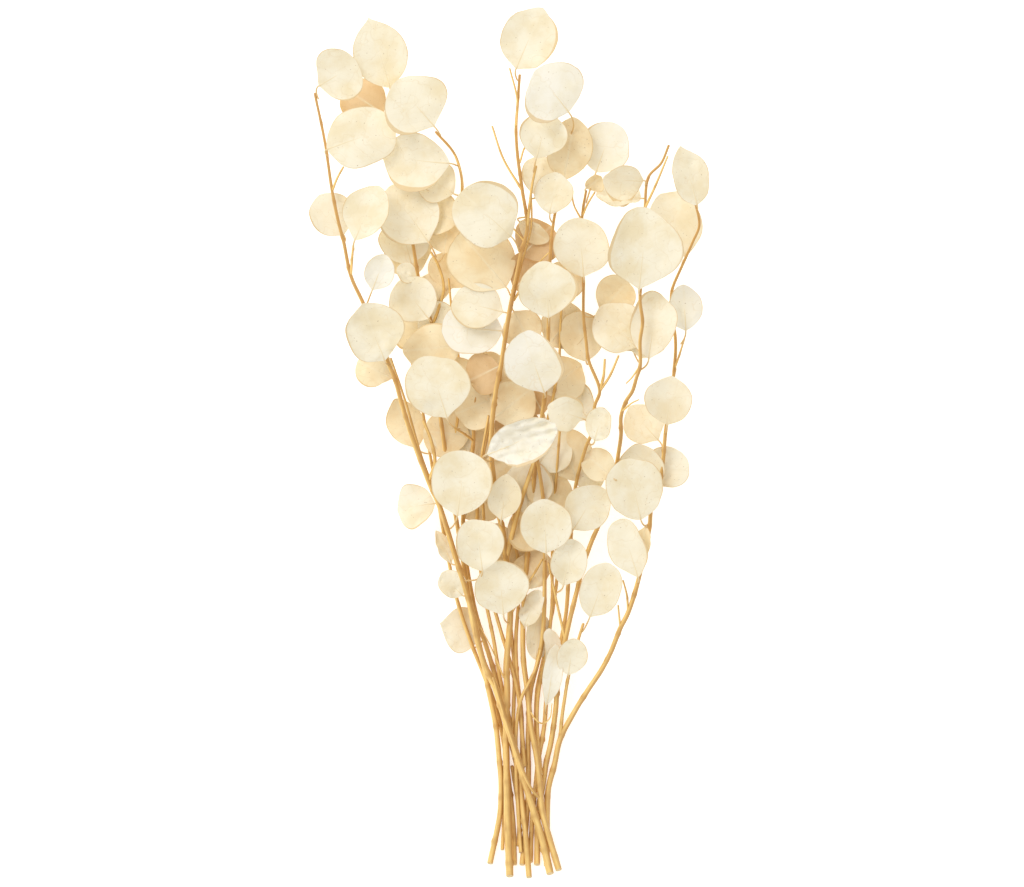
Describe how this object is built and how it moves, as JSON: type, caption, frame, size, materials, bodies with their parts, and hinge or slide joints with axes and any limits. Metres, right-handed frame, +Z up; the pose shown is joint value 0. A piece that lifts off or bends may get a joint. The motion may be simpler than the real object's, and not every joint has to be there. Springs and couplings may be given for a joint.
{
  "type": "bunch of dried eucalyptus branches",
  "caption": "Loose bunch of cut, bleached round-leaved eucalyptus branches lying flat: straight woody stems crossing low down and fanning into a leafy crown.",
  "frame": {"origin": "middle of the bounding box in X and Y, on the surface the bunch lies on", "axes": "+Y from the cut ends to the leafy tips, +X across the bunch, +Z up from the surface"},
  "size_m": [0.3196, 0.6984, 0.097],
  "materials": {
    "stem": "smooth honey-coloured bark, fine lengthwise grain, satin",
    "leaf_white": "bleached dry leaf, nearly white, matt with a faint sheen",
    "leaf_ivory": "bleached dry leaf, ivory, matt with a faint sheen",
    "leaf_tan": "bleached dry leaf, light tan, matt",
    "leaf_brown": "bleached dry leaf, golden brown, matt"
  },
  "bodies": {
    "root": {"branch_a": "stem", "leaf_a_1": "leaf_ivory", "leaf_a_2": "leaf_brown", "leaf_a_3": "leaf_ivory", "branch_b": "stem", "leaf_b_1": "leaf_ivory", "leaf_b_2": "leaf_ivory", "leaf_b_3": "leaf_ivory", "leaf_b_4": "leaf_ivory", "leaf_b_5": "leaf_white", "leaf_b_6": "leaf_ivory", "leaf_b_7": "leaf_ivory", "leaf_b_8": "leaf_ivory", "branch_c": "stem", "leaf_c_1": "leaf_ivory", "leaf_c_2": "leaf_ivory", "leaf_c_3": "leaf_ivory", "leaf_c_4": "leaf_tan", "leaf_c_5": "leaf_white", "leaf_c_6": "leaf_white", "leaf_c_7": "leaf_ivory", "leaf_c_8": "leaf_ivory", "branch_d": "stem", "leaf_d_1": "leaf_ivory", "leaf_d_2": "leaf_ivory", "leaf_d_3": "leaf_ivory", "leaf_d_4": "leaf_tan", "branch_e": "stem", "leaf_e_1": "leaf_white", "leaf_e_2": "leaf_ivory", "leaf_e_3": "leaf_ivory", "leaf_e_4": "leaf_white", "branch_f": "stem", "leaf_f_1": "leaf_ivory", "leaf_f_2": "leaf_ivory", "leaf_f_3": "leaf_white", "leaf_f_4": "leaf_ivory", "leaf_f_5": "leaf_ivory", "leaf_f_6": "leaf_ivory", "leaf_f_7": "leaf_ivory", "leaf_f_8": "leaf_ivory", "leaf_f_9": "leaf_ivory", "branch_g": "stem", "leaf_g_1": "leaf_ivory", "leaf_g_2": "leaf_ivory", "leaf_g_3": "leaf_ivory", "leaf_g_4": "leaf_ivory", "leaf_g_5": "leaf_ivory", "branch_h": "stem", "leaf_h_1": "leaf_ivory", "branch_k": "stem", "leaf_k_1": "leaf_white", "leaf_k_2": "leaf_ivory", "leaf_k_3": "leaf_ivory", "leaf_k_4": "leaf_ivory", "leaf_k_5": "leaf_ivory", "leaf_k_6": "leaf_white", "branch_l": "stem", "leaf_l_1": "leaf_tan", "leaf_l_2": "leaf_ivory"}
  },
  "joints": []
}
